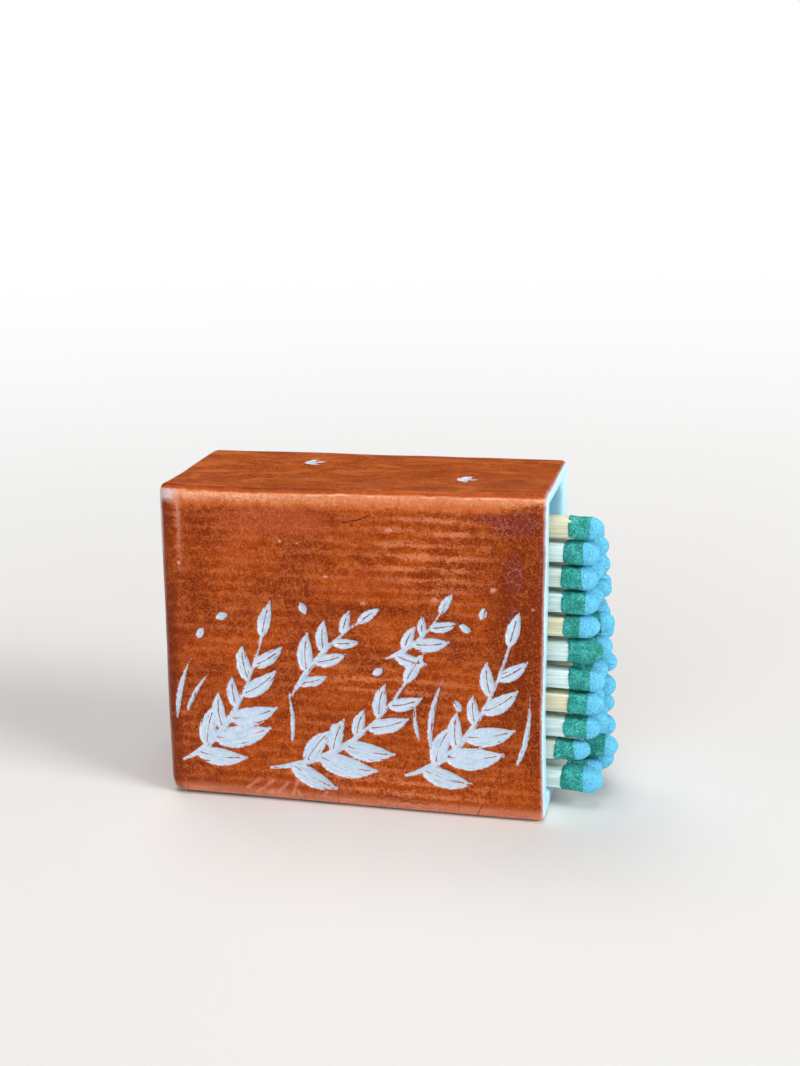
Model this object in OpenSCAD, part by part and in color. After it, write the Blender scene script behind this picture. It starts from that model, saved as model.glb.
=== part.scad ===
// Matchbox holder: one hand-built glazed ceramic box that stands on its long narrow side,
// closed at the left end and open at the right, with a loose stack of matches in it.
// Origin: centre of the resting face. +X points out of the mouth, +Y to the back, +Z up.

/* [Match] */
// Width of the square wooden splint
splint_w = 2.1; // [1.7:0.05:2.6]
// Length of a whole match, from bare end to tip
match_len = 46.5; // [42:0.5:52]
// Thickness of the dipped head over each side of the wood
head_coat = 0.325; // [0.3:0.025:0.6]
// Length of the head
head_len = 4.1; // [3.2:0.1:4.4]
// Corner radius of the head's rounded square section
head_corner_r = 0.95; // [0.7:0.05:1]
// Length of the second, paler dip at the tip
tip_len = 1.65; // [0.8:0.05:2.4]
// Head left over the end of the wood
tip_cover = 1.1; // [0.6:0.1:2]
// Most that a splint is turned about its own length
splint_turn = 4; // [0:1:5]

/* [Stack] */
// Gap between one head and the head above it
match_gap = 0.235; // [0.2:0.005:0.5]
// Gap between one column of heads and the next
column_gap = 0.35; // [0.15:0.05:0.8]
// How far each match stands out of the mouth: one list per column, bottom to top
stand_out = [
    [6.1, 4.6, 5.7, 6.1, 6.2, 5.9, 5.5, 5.3, 5.2, 5.4, 5.8],
    [5.7, 7.5, 6.4, 5.8, 6.2, 6.7, 6.9, 5.6, 5.6, 6.1],
    [6.8, 5.9, 6.0, 6.9, 7.0, 5.8, 6.1, 6.2, 6.0, 5.1],
    [5.6, 6.7, 6.5, 5.7, 6.0, 6.3, 5.5, 5.9, 5.3, 5.0]
];
// How far each match lies above its even place in the stack
lift = [
    [0, 0.45, 0.35, 0.35, 0.25, 0.5, 0.4, 0.3, 0.2, 0.1, 0],
    [0, -0.1, -0.05, 0.1, 0.2, 0.1, 0, 0.1, 0.2, 0.1],
    [0.1, 0, 0.1, 0.3, 0.25, 0.15, 0.25, 0.2, 0.1, 0],
    [0, 0.1, 0, -0.1, 0.1, 0.2, 0.1, 0, 0.1, 0.1]
];

/* [Holder] */
// Thickness of the front and back walls
wall_t = 3.2; // [2:0.1:5]
// Thickness of the closed end
end_t = 2.4; // [1.5:0.1:5]
// Thickness of the floor
floor_t = 2.1; // [1.5:0.1:5]
// Thickness of the roof
roof_t = 1.8; // [1.2:0.1:5]
// Free space between the outer columns of heads and the walls
side_room = 0.775; // [0.3:0.025:3]
// Free space above the topmost head
head_room = 1.375; // [0.8:0.025:6]
// Free space under the lowest heads
seat_gap = 0.125; // [0.05:0.025:0.5]
// Free space between the closed end and the match pushed in furthest
end_gap = 0.2; // [0.1:0.05:2]
// Radius of the long edges
edge_r = 1.2; // [0.3:0.1:1.6]
// Radius of the lower corner at the closed end, seen from the front
heel_r = 2; // [0.3:0.1:2.3]
// Radius of the other edges of the closed end
end_edge_r = 1; // [0.3:0.1:1.5]
// Radius of the edges round the mouth
mouth_edge_r = 0.5; // [0.2:0.1:1]
// Radius of the inner corners
inner_r = 1.5; // [0.5:0.1:2]

/* [Hidden] */
COLUMNS = ["front", "second", "third", "back"];
clay = "#a84a1e";
wood = "#cfdcc4";
green = "#46aaa4";
pale_blue = "#71daf9";
$fn = 64;
past = 1;

head_d = splint_w + 2 * head_coat;
row_pitch = head_d + match_gap;
column_pitch = head_d + column_gap;
rows = max([for (column = stand_out) len(column)]);
least_out = min([for (column = stand_out) min(column)]);

cavity_len = match_len - least_out + end_gap;
cavity_d = (len(COLUMNS) - 1) * column_pitch + head_d + 2 * side_room;
cavity_h = seat_gap + (rows - 1) * row_pitch + head_d + head_room;

body_len = end_t + cavity_len;
body_d = cavity_d + 2 * wall_t;
body_h = floor_t + cavity_h + roof_t;
mouth_x = body_len / 2;
first_y = -cavity_d / 2 + side_room + head_d / 2;
first_z = floor_t + seat_gap + head_d / 2;

function match_name(c, r) = str("match_", COLUMNS[c], r < 9 ? "_0" : "_", r + 1);
function match_x(c, r) = mouth_x + stand_out[c][r] - match_len;
function match_y(c) = first_y + c * column_pitch;
function match_z(c, r) = first_z + r * row_pitch + lift[c][r];
function match_turn(c, r) = splint_turn * sin(137.5 * (r + 1) + 90 * c);

// A rectangle about the origin with its own radius at each corner,
// in the order low left, low right, high right, high left
module rounded_outline(w, h, radii) {
    sides = [[-1, -1], [1, -1], [1, 1], [-1, 1]];
    union() {
        polygon([
            for (i = [0 : 3], first = [true, false])
                let (along_x = (i % 2 == 0) != first)
                [
                    sides[i][0] * (w / 2 - (along_x ? radii[i] : 0)),
                    sides[i][1] * (h / 2 - (along_x ? 0 : radii[i]))
                ]
        ]);
        for (i = [0 : 3])
            translate([sides[i][0] * (w / 2 - radii[i]), sides[i][1] * (h / 2 - radii[i])])
                circle(r = radii[i]);
    }
}

// Stands an outline of Y and Z up and runs it along X from 0
module along_x(length) {
    rotate([90, 0, 90]) linear_extrude(length) children();
}

module outer_block() {
    intersection() {
        translate([-body_len / 2, 0, body_h / 2])
            along_x(body_len)
            rounded_outline(body_d, body_h, [edge_r, edge_r, edge_r, edge_r]);
        translate([0, body_d / 2, body_h / 2])
            rotate([90, 0, 0])
            linear_extrude(body_d)
            rounded_outline(body_len, body_h, [heel_r, mouth_edge_r, mouth_edge_r, end_edge_r]);
        linear_extrude(body_h)
            rounded_outline(body_len, body_d, [end_edge_r, mouth_edge_r, mouth_edge_r, end_edge_r]);
    }
}

module holder() {
    color(clay) difference() {
        outer_block();
        translate([mouth_x - cavity_len, 0, floor_t + cavity_h / 2])
            along_x(cavity_len + past)
            rounded_outline(cavity_d, cavity_h, [inner_r, inner_r, inner_r, inner_r]);
    }
}

module splint() {
    along_x(match_len - tip_cover) square(splint_w, center = true);
}

// The dipped end between two distances from the bare end, hollow where the wood is in it.
// Its section is a rounded square, and a turned dome closes the tip.
module dipped(from, to) {
    head_r = head_d / 2;
    dome_r = sqrt(2) * (head_r - head_corner_r) + head_corner_r;
    intersection() {
        difference() {
            translate([from, 0, 0])
                along_x(to - from)
                rounded_outline(head_d, head_d, [for (i = [0 : 3]) head_corner_r]);
            splint();
        }
        union() {
            along_x(match_len - dome_r) square(2 * head_d, center = true);
            translate([match_len - dome_r, 0, 0]) sphere(r = dome_r);
        }
    }
}

module match(c, r) {
    translate([match_x(c, r), match_y(c), match_z(c, r)])
        rotate([match_turn(c, r), 0, 0]) {
            color(wood) splint();
            color(green) dipped(match_len - head_len, match_len - tip_len);
            color(pale_blue) dipped(match_len - tip_len, match_len);
        }
}

holder();
for (c = [0 : len(COLUMNS) - 1], r = [0 : len(stand_out[c]) - 1])
    match(c, r);
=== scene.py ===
import math

import bpy
import numpy as np
from mathutils import Matrix, Vector, noise


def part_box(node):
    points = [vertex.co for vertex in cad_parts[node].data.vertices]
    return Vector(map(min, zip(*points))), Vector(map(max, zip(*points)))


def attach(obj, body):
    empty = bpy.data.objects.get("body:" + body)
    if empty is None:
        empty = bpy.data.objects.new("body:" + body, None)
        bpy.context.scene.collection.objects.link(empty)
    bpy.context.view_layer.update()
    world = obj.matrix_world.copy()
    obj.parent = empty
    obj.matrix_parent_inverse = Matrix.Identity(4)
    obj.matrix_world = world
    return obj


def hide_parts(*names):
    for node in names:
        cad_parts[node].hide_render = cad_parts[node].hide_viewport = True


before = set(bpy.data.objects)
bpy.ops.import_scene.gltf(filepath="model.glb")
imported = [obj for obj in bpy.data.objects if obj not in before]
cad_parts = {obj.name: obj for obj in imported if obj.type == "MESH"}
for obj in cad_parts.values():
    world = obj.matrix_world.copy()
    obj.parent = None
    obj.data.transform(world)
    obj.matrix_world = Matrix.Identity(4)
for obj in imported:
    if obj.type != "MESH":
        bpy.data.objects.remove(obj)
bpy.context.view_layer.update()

# A glazed clay box on its long narrow side, with loose matches standing out of its open end.
# Everything is in metres. +X points out of the mouth, +Y to the back, +Z up.

MM = 0.001

# The box, with the walls, floor and roof of the construction model
BODY_LOW, BODY_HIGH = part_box("holder")
WALL = 3.2 * MM
CLOSED_END = 2.4 * MM
FLOOR = 2.1 * MM
ROOF = 1.8 * MM
WIDEST_BEVEL = 2.8 * MM
LONG_EDGE_R = 1.2 * MM
END_EDGE_R = 1.0 * MM
FRONT_END_R = 1.7 * MM
BACK_END_R = 2.8 * MM
HEEL_R = 2.0 * MM
MOUTH_OUTER_R = 0.55 * MM
MOUTH_INNER_R = 0.6 * MM
INNER_CORNER_R = 1.5 * MM
BEVEL_STEPS = 5
GRID = 0.8 * MM
FINE_CUTS = 3

# How far the hand-built box strays from a true one, in millimetres
LEFT_OUT = 0.6
TOP_LEFT_LEAN = 0.2
ROOF_RISE = 0.42
FOOT_FORWARD = 0.45
MOUTH_HOLLOW = 0.25
EDGE_DIP = 0.2
HEEL_LIFT = 0.18

# The carved drawing, in millimetres
CUT_STEP = 0.12
CUT_DEPTH = 0.17
CUT_BURR = 0.03

# Distance between the ribs that the brush left, in millimetres
RIB_PITCH = 1.35

# Patches of the front that the brush and the fire left different, each as x, z, reach in x,
# reach in z and strength, in millimetres from the lower middle of the face
PURPLE_PATCHES = [
    (19.4, 34.7, 3.0, 1.7, 1.0), (16.0, 35.4, 2.4, 0.9, 0.8), (18.9, 29.2, 1.2, 2.8, 0.9),
    (18.7, 23.6, 1.0, 2.8, 0.8), (21.9, 28.0, 0.6, 9.0, 0.7), (14.0, 30.0, 1.0, 1.6, 0.4),
]
RIBBED_PATCHES = [
    (9.4, 31.5, 5.4, 4.6, 1.0), (5.0, 15.5, 7.0, 1.6, 0.7), (6.0, 3.2, 9.0, 2.0, 0.9), (-4.0, 3.0, 6.0, 1.6, 0.5),
]
PINK_PATCHES = [
    (-8.0, 34.2, 6.4, 1.8, 0.9), (-12.0, 30.5, 3.0, 3.0, 0.4), (2.0, 27.0, 5.0, 2.5, 0.35), (-8.0, 2.2, 9.0, 1.2, 0.5),
]
DEEP_PATCHES = [
    (-17.9, 27.0, 1.5, 9.0, 0.5), (-16.6, 23.5, 0.7, 2.5, 0.6), (-17.0, 12.0, 3.0, 6.0, 0.4),
    (14.6, 33.0, 0.8, 1.8, 0.6), (13.0, 23.5, 6.0, 1.0, 0.5), (3.0, 24.3, 9.0, 0.7, 0.8),
    (19.6, 23.0, 3.6, 12.0, 1.15), (21.6, 10.0, 1.4, 9.0, 0.8), (-21.0, 16.0, 1.0, 12.0, 0.5),
]
PALE_SPOTS = [
    (16.5, 27.2, 0.5, 0.45, 0.9), (10.0, 25.8, 0.7, 0.4, 0.8), (4.9, 33.6, 0.7, 0.45, 0.8),
    (1.8, 25.0, 0.55, 0.35, 0.8), (20.9, 25.2, 0.35, 0.3, 0.8), (-5.7, 31.7, 0.22, 0.2, 1.0),
    (-7.7, 31.9, 0.24, 0.22, 1.3), (-19.8, 28.8, 0.25, 0.25, 1.2), (-2.5, 27.9, 0.45, 0.25, 0.9),
]
SCRATCHES = [((-0.4, 34.3), (1.2, 34.6)), ((1.2, 34.6), (2.6, 35.15))]
SCUFFS = [
    ((-7.1, 0.7), (-6.0, 3.8)), ((-11.3, 0.9), (-9.3, 2.6)), ((-8.6, 1.2), (-7.6, 2.4)), ((-12.4, 1.5), (-11.0, 2.6)),
    ((-5.9, 0.6), (-6.3, 1.5)), ((-5.4, 2.6), (-4.7, 3.7)), ((-10.1, 0.6), (-9.4, 1.2)), ((-3.2, 1.2), (-2.8, 1.8)),
]

# The matches
COLUMNS = ["front", "second", "third", "back"]
SPLINT_W = 2.1 * MM
HEAD_W = 2.75 * MM
HEAD_LEN = 4.1 * MM
TIP_LEN = 1.65 * MM
TIP_COVER = 1.1 * MM
SPLINT_TURN = 4.0
SINGLE_DIP = "match_front_06"
SECOND_DIP_LEN = {"match_front_01": 2.3, "match_front_07": 2.3}
HEAD_STRETCH = {"match_front_01": 1.17, "match_front_11": 0.95}
# The front column from the bottom up: how large each head is, and how creamy its wood
FRONT_HEAD_SIZES = [1.04, 0.86, 0.93, 0.99, 0.97, 1.02, 0.95, 0.99, 1.0, 1.03, 0.9]
FRONT_CREAM = [0.15, 0.4, 0.1, 0.9, 0.15, 0.15, 0.85, 0.1, 0.35, 0.2, 0.9]
# How far some loose matches hang down at their heads, in millimetres
DROOP = {
    "match_front_01": 0.4, "match_front_02": 0.05, "match_front_03": 0.22, "match_front_04": 0.15, "match_front_05": 0.3,
    "match_front_08": 0.25, "match_front_09": 0.25, "match_front_10": 0.1, "match_front_11": 0.15,
}

# The camera that took the photograph, in the part's own frame
PHOTO_LONG_SIDE = 1066
FOCAL_PIXELS = 1518.6
CAMERA_AT = Vector((43.02, -169.09, 73.68)) * MM
CAMERA_YAW = 13.097
CAMERA_PITCH = -13.878
CAMERA_ROLL = -1.02

# The stage
FLOOR_REACH = 30.0
BACKDROP_TOP = 0.09
FADE_FROM = 0.05
FADE_TO = 1.0
FADE_EASE = 0.17
ROOM_LIGHT = 0.13
LAMPS = [
    ("window_right", (1.45, -0.52, 0.80), 0.70, 24.0, (1.0, 0.99, 0.98)),
    ("soft_front", (-0.10, -1.55, 0.85), 1.10, 10.0, (0.98, 0.99, 1.0)),
    ("overhead", (0.10, -0.25, 1.45), 0.60, 5.8, (1.0, 1.0, 1.0)),
    ("soft_behind", (-0.45, 0.64, 1.62), 0.90, 10.0, (1.0, 1.0, 1.0)),
]


# Small helpers for modelling by hand

def deselect_all():
    if bpy.context.object and bpy.context.object.mode != "OBJECT":
        bpy.ops.object.mode_set(mode="OBJECT")
    bpy.ops.object.select_all(action="DESELECT")


def make_active(piece):
    deselect_all()
    piece.select_set(True)
    bpy.context.view_layer.objects.active = piece


def add_block(name, low, high):
    """A cube stretched between two corners, its place in its mesh."""
    deselect_all()
    low, high = Vector(low), Vector(high)
    bpy.ops.mesh.primitive_cube_add(size=1, location=(low + high) / 2)
    piece = bpy.context.object
    piece.name = name
    piece.data.name = name
    piece.scale = high - low
    bpy.ops.object.transform_apply(location=True, rotation=True, scale=True)
    return piece


def select_faces(piece, wanted):
    """Selects the faces for which wanted(centre, normal) is true, and goes into edit mode."""
    make_active(piece)
    bpy.ops.object.mode_set(mode="EDIT")
    bpy.ops.mesh.select_mode(type="FACE")
    bpy.ops.mesh.select_all(action="DESELECT")
    bpy.ops.object.mode_set(mode="OBJECT")
    for face in piece.data.polygons:
        face.select = bool(wanted(face.center, face.normal))
    bpy.ops.object.mode_set(mode="EDIT")


def apply_modifier(piece, kind, **settings):
    make_active(piece)
    modifier = piece.modifiers.new(kind.lower(), kind)
    for key, value in settings.items():
        setattr(modifier, key, value)
    bpy.ops.object.modifier_apply(modifier=modifier.name)


def cut_in_slices(piece, axis, places):
    """Cuts the whole mesh by planes square to one axis."""
    make_active(piece)
    bpy.ops.object.mode_set(mode="EDIT")
    normal = [0, 0, 0]
    normal[axis] = 1
    for place in places:
        point = [0, 0, 0]
        point[axis] = place
        bpy.ops.mesh.select_all(action="SELECT")
        bpy.ops.mesh.bisect(plane_co=point, plane_no=normal)
    bpy.ops.object.mode_set(mode="OBJECT")


def points_of(piece):
    co = np.zeros(len(piece.data.vertices) * 3)
    piece.data.vertices.foreach_get("co", co)
    return co.reshape(-1, 3)


def set_points(piece, co):
    piece.data.vertices.foreach_set("co", co.ravel())
    piece.data.update()


def normals_of(piece):
    normals = np.zeros(len(piece.data.vertices) * 3)
    piece.data.vertex_normals.foreach_get("vector", normals)
    return normals.reshape(-1, 3)


def set_attribute(piece, name, values):
    attribute = piece.data.attributes.new(name, "FLOAT", "POINT")
    attribute.data.foreach_set("value", np.asarray(values, np.float32))


def smooth_step(low, high, value):
    t = np.clip((value - low) / (high - low), 0, 1)
    return t * t * (3 - 2 * t)


def wavy(co, wavelength, seed):
    """Smooth noise of about -1 to 1 at each point."""
    shift = Vector((seed * 7.3, seed * 3.1, seed * 5.7))
    return np.array([noise.noise(Vector(p) / wavelength + shift) for p in co])


# Small helpers for node materials

def plain(red, green, blue):
    """A colour given as 0 to 255 on a screen, as the shader wants it."""
    linear = [((c / 255 + 0.055) / 1.055) ** 2.4 if c > 10 else c / 3294 for c in (red, green, blue)]
    return (*linear, 1)


SLIP_DEEP = plain(134, 42, 0)
SLIP_MID = plain(166, 64, 0)
SLIP_DARK = plain(114, 34, 0)
SLIP_PALE = plain(202, 100, 34)
SLIP_PINK = plain(176, 76, 44)
SLIP_PURPLE = plain(124, 44, 24)
SLIP_GRAIN = plain(218, 118, 48)
SLIP_ORANGE = plain(188, 76, 8)
SLIP_CORE = plain(124, 44, 12)
SLIP_LILAC = plain(196, 124, 108)
SLIP_RIB = plain(228, 138, 94)
SLIP_ROOF_PAINTED_LIGHT = plain(190, 88, 24)
SLIP_RIB_DULL = plain(206, 112, 54)
SLIP_PAINTED_SHADE = plain(98, 30, 0)
SLIP_FOOT_WEAR_AND_SHEEN = plain(224, 142, 108)
SLIP_THIN_AND_GLINT = plain(226, 156, 130)
SLIP_SCRATCH = plain(84, 30, 30)
SLIP_WORN_AND_SHEEN = plain(222, 118, 58)
SLIP_PAINTED_HIGHLIGHT = plain(252, 186, 148)
BARE_CLAY = plain(226, 200, 196)
CUT_WHITE = plain(190, 219, 244)
CUT_WHITE_WARM = plain(218, 228, 240)
CUT_SHADE = plain(160, 186, 206)
CUT_LILAC = plain(198, 176, 186)
HEAD_GREEN_SPECK = plain(130, 226, 222)
HEAD_GREEN_DARK = plain(12, 94, 82)
HEAD_GREEN_MID = plain(52, 166, 153)
HEAD_GREEN_LIGHT = plain(80, 208, 202)
HEAD_BLUE_DARK = plain(88, 186, 228)
HEAD_BLUE_LIGHT = plain(118, 216, 252)
HEAD_BLUE_SPECK = plain(52, 134, 178)
RIM_WHITE = plain(190, 238, 255)
CAVITY_WHITE_PAINTED_SHADE = plain(148, 221, 255)


def feed(socket, value):
    if isinstance(value, bpy.types.NodeSocket):
        socket.id_data.links.new(value, socket)
    elif value is not None:
        socket.default_value = value


def new_material(name, **settings):
    """A principled material with its constants set on the shader's own sockets."""
    material = bpy.data.materials.new(name)
    material.use_nodes = True
    shader = material.node_tree.nodes["Principled BSDF"]
    for key, value in settings.items():
        shader.inputs[key.replace("_", " ")].default_value = value
    return material, material.node_tree, shader


def maths(tree, operation, a, b=None, c=None, clamp=False):
    made = tree.nodes.new("ShaderNodeMath")
    made.operation = operation
    made.use_clamp = clamp
    for socket, value in zip(made.inputs, (a, b, c)):
        feed(socket, value)
    return made.outputs[0]


def mixed(tree, factor, a, b, blend="MIX"):
    made = tree.nodes.new("ShaderNodeMix")
    made.data_type = "RGBA"
    made.blend_type = blend
    feed(made.inputs["Factor"], factor)
    feed(made.inputs[6], a)
    feed(made.inputs[7], b)
    return made.outputs[2]


def ramp(tree, value, low, high, to_low=0.0, to_high=1.0):
    """Carries low..high smoothly over to to_low..to_high."""
    made = tree.nodes.new("ShaderNodeMapRange")
    made.interpolation_type = "SMOOTHSTEP"
    for socket, number in zip(made.inputs, (value, low, high, to_low, to_high)):
        feed(socket, number)
    return made.outputs[0]


def place(tree, stretch=(1, 1, 1), shift=(0, 0, 0)):
    """Object coordinates in millimetres, stretched and shifted."""
    coordinates = tree.nodes.new("ShaderNodeTexCoord")
    mapping = tree.nodes.new("ShaderNodeMapping")
    mapping.inputs["Scale"].default_value = [s / MM for s in stretch]
    mapping.inputs["Location"].default_value = shift
    tree.links.new(coordinates.outputs["Object"], mapping.inputs["Vector"])
    return mapping.outputs[0]


def clouds(tree, vector, scale, detail=3.0, rough=0.5, twist=0.0):
    made = tree.nodes.new("ShaderNodeTexNoise")
    for key, value in (("Vector", vector), ("Scale", scale), ("Detail", detail),
                       ("Roughness", rough), ("Distortion", twist)):
        feed(made.inputs[key], value)
    return made.outputs[0]


def cracks(tree, vector, scale, seed, flat=False):
    """Distance to the nearest line of an irregular net, in space or in the vector's first two numbers."""
    made = tree.nodes.new("ShaderNodeTexVoronoi")
    made.voronoi_dimensions = "2D" if flat else "3D"
    made.feature = "DISTANCE_TO_EDGE"
    shifted = tree.nodes.new("ShaderNodeVectorMath")
    feed(shifted.inputs[0], vector)
    shifted.inputs[1].default_value = (seed, seed * 2, seed * 3)
    feed(made.inputs["Vector"], shifted.outputs[0])
    feed(made.inputs["Scale"], scale)
    return made.outputs["Distance"]


def attribute(tree, name):
    made = tree.nodes.new("ShaderNodeAttribute")
    made.attribute_name = name
    return made.outputs["Fac"]


def bump(tree, shader, height, strength, distance):
    made = tree.nodes.new("ShaderNodeBump")
    made.inputs["Strength"].default_value = strength
    made.inputs["Distance"].default_value = distance
    feed(made.inputs["Height"], height)
    feed(shader.inputs["Normal"], made.outputs[0])


# The carved drawing: sprigs of leaves, grass and scattered seeds, cut through the slip

def curve_points(start, bend, end):
    """Close-set points on a curve that leaves start towards bend and arrives at end, in millimetres."""
    start, bend, end = (np.array(p, float) for p in (start, bend, end))
    length = np.linalg.norm(bend - start) + np.linalg.norm(end - bend)
    t = np.linspace(0, 1, max(int(length / CUT_STEP), 8))[:, None]
    return (1 - t) ** 2 * start + 2 * t * (1 - t) * bend + t ** 2 * end


def cut(start, bend, end, width, fullest=0.4, thinnest=0.2):
    """One cut of the loop tool: its centre line and its half width, widest at fullest of its length."""
    line = curve_points(start, bend, end)
    t = np.linspace(0, 1, len(line))
    warped = t ** (math.log(0.5) / math.log(fullest))
    half = width / 2 * np.clip(np.sin(math.pi * warped) ** 0.8, thinnest, 1)
    return line, half


def leaf(base, angle, length, width, curl):
    """A leaf scooped out in one cut."""
    forward = np.array([math.cos(angle), math.sin(angle)])
    side = np.array([-forward[1], forward[0]])
    bend = base + forward * length * 0.5 + side * curl * length
    return [cut(base, bend, base + forward * length, width)]


def sprig(start, bend, end, leaves, leaf_len, leaf_w, stem_w=0.6, open_angle=42):
    """A curved stem with leaves to both sides and one at the tip, smaller towards the tip."""
    cuts = [cut(start, bend, end, stem_w, fullest=0.3, thinnest=0.5)]
    line = curve_points(start, bend, end)
    last = len(line) - 1
    for i in range(leaves):
        t = 0.14 + 0.8 * i / leaves
        at = int(t * last)
        ahead = line[min(at + 3, last)] - line[max(at - 3, 0)]
        side = 1 if i % 2 else -1
        angle = math.atan2(ahead[1], ahead[0]) + side * math.radians(open_angle - 12 * t + 6 * math.sin(5 * i))
        size = (1 - 0.45 * t) * (0.88 + 0.24 * ((i * 7) % 5) / 4)
        inner = np.cross(line[last] - line[0], line[at] - line[0]) * side < 0
        if inner:
            size *= 0.8
        cuts += leaf(line[at], angle, leaf_len * size, leaf_w * size, 0.12 * side)
    ahead = line[-1] - line[-4]
    cuts += leaf(line[-1], math.atan2(ahead[1], ahead[0]), leaf_len * 0.6, leaf_w * 0.55, 0.05)
    return cuts


def front_drawing():
    """All the cuts of the front, in millimetres from the lower middle of the face."""
    cuts = []
    cuts += sprig((-20.2, 4.4), (-13.4, 8.0), (-10.2, 20.4), 9, 7.2, 2.9, stem_w=0.85)
    cuts += sprig((-9.6, 4.2), (0.6, 5.6), (6.6, 15.8), 9, 7.0, 2.9, stem_w=0.85)
    cuts += sprig((6.4, 4.6), (14.8, 7.0), (18.4, 20.8), 9, 6.8, 2.9, stem_w=0.85)
    cuts += sprig((-6.8, 13.4), (-3.6, 19.2), (1.2, 22.6), 6, 5.3, 2.2, stem_w=0.7)
    cuts += sprig((4.4, 18.6), (8.2, 20.0), (10.6, 24.2), 5, 4.6, 2.0, stem_w=0.65)
    blades = [
        ((-20.8, 9.6), (-20.6, 14.0), (-18.6, 17.6), 0.75), ((-19.6, 10.4), (-18.6, 13.6), (-16.4, 15.8), 0.6),
        ((-7.0, 7.4), (-6.4, 11.0), (-7.4, 14.6), 0.6), ((9.4, 8.2), (9.2, 12.6), (11.0, 16.6), 0.75),
        ((8.2, 8.8), (7.4, 11.2), (7.8, 14.0), 0.55), ((19.2, 6.6), (21.0, 10.4), (20.8, 15.2), 0.7),
    ]
    cuts += [cut(start, bend, end, width, fullest=0.35, thinnest=0.25) for start, bend, end, width in blades]
    seeds = [(-17.6, 20.4, 60), (-14.9, 22.6, 20), (-5.2, 24.0, 110), (-1.9, 9.6, 70), (12.6, 13.4, 120),
             (13.4, 22.6, 150), (15.4, 24.4, 75), (3.4, 16.9, 35), (-12.9, 17.6, 100)]
    for x, z, turn in seeds:
        reach = np.array([math.cos(math.radians(turn)), math.sin(math.radians(turn))]) * 0.7
        middle = np.array([x, z])
        cuts.append(cut(middle - reach, middle, middle + reach, 0.95, fullest=0.5))
    return cuts


def roof_drawing():
    """Two small three-leaf sprouts on the roof, in millimetres from its middle."""
    cuts = []
    for x, y, turn in ((-8.4, 3.6, 12), (11.2, -2.2, -14)):
        for lean, length in ((-38, 2.3), (2, 2.8), (44, 2.1)):
            cuts += leaf(np.array([x, y]), math.radians(turn + lean), length, 0.95, 0.06)
    return cuts


def measure_cuts(flat, cuts):
    """For points in a plane, in millimetres: how deep inside the nearest cut they lie (below 0 outside),
    how far along it, and how far to the side of its centre line."""
    inside = np.full(len(flat), -9.0)
    along = np.zeros(len(flat))
    side = np.ones(len(flat))
    for line, half in cuts:
        reach = half.max() + 1
        near = np.flatnonzero(np.all((flat > line.min(0) - reach) & (flat < line.max(0) + reach), axis=1))
        if not len(near):
            continue
        away = flat[near, None, :] - line[None, :, :]
        depth = half[None, :] - np.linalg.norm(away, axis=2)
        best = depth.argmax(axis=1)
        ahead = np.gradient(line, axis=0)
        ahead /= np.linalg.norm(ahead, axis=1)[:, None]
        to_side = away[np.arange(len(near)), best]
        deepest = depth.max(axis=1)
        better = deepest > inside[near]
        chosen = near[better]
        inside[chosen] = deepest[better]
        along[chosen] = best[better] * CUT_STEP + line[0, 0] * 3.7
        side[chosen] = (to_side[:, 1] * ahead[best, 0] - to_side[:, 0] * ahead[best, 1])[better]
    return inside, along, side


# The holder

def weigh_edges(box, cavity_low, cavity_high):
    """Gives each edge of the blocked-out box its own share of the widest bevel."""
    weights = box.data.attributes.new("bevel_weight_edge", "FLOAT", "EDGE")
    tiny = 0.05 * MM
    for edge in box.data.edges:
        a, b = (box.data.vertices[i].co for i in edge.vertices)
        middle, run = (a + b) / 2, b - a
        inner = (cavity_low.y - tiny < middle.y < cavity_high.y + tiny
                 and cavity_low.z - tiny < middle.z < cavity_high.z + tiny)
        at_mouth = abs(run.x) < tiny and middle.x > BODY_HIGH.x - tiny
        at_end = abs(run.x) < tiny and middle.x < BODY_LOW.x + tiny
        upright = abs(run.z) > tiny
        if inner:
            radius = MOUTH_INNER_R if at_mouth else INNER_CORNER_R
        elif at_mouth:
            radius = MOUTH_OUTER_R
        elif at_end and upright:
            radius = FRONT_END_R if middle.y < 0 else BACK_END_R
        elif at_end:
            radius = HEEL_R if middle.z < BODY_LOW.z + tiny else END_EDGE_R
        else:
            radius = LONG_EDGE_R
        weights.data[edge.index].value = radius / WIDEST_BEVEL


def block_out_holder():
    """The box with its cavity, from one cube: inset, fitted to the cavity, pushed in and bevelled."""
    box = add_block("holder_shell", BODY_LOW, BODY_HIGH)
    cavity_low = Vector((BODY_LOW.x + CLOSED_END, BODY_LOW.y + WALL, BODY_LOW.z + FLOOR))
    cavity_high = Vector((BODY_HIGH.x, BODY_HIGH.y - WALL, BODY_HIGH.z - ROOF))
    select_faces(box, lambda centre, normal: normal.x > 0.9)
    bpy.ops.mesh.inset(thickness=ROOF)
    bpy.ops.object.mode_set(mode="OBJECT")
    mouth = [v for v in box.data.vertices if v.select]
    for v in mouth:
        v.co.y = cavity_low.y if v.co.y < 0 else cavity_high.y
        v.co.z = cavity_low.z if v.co.z < BODY_HIGH.z / 2 else cavity_high.z
    bpy.ops.object.mode_set(mode="EDIT")
    bpy.ops.mesh.extrude_region_move(
        TRANSFORM_OT_translate={"value": (cavity_low.x - cavity_high.x, 0, 0)})
    bpy.ops.object.mode_set(mode="OBJECT")
    weigh_edges(box, cavity_low, cavity_high)
    apply_modifier(box, "BEVEL", width=WIDEST_BEVEL, segments=BEVEL_STEPS,
                   limit_method="WEIGHT", miter_outer="MITER_SHARP")
    return box


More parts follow.
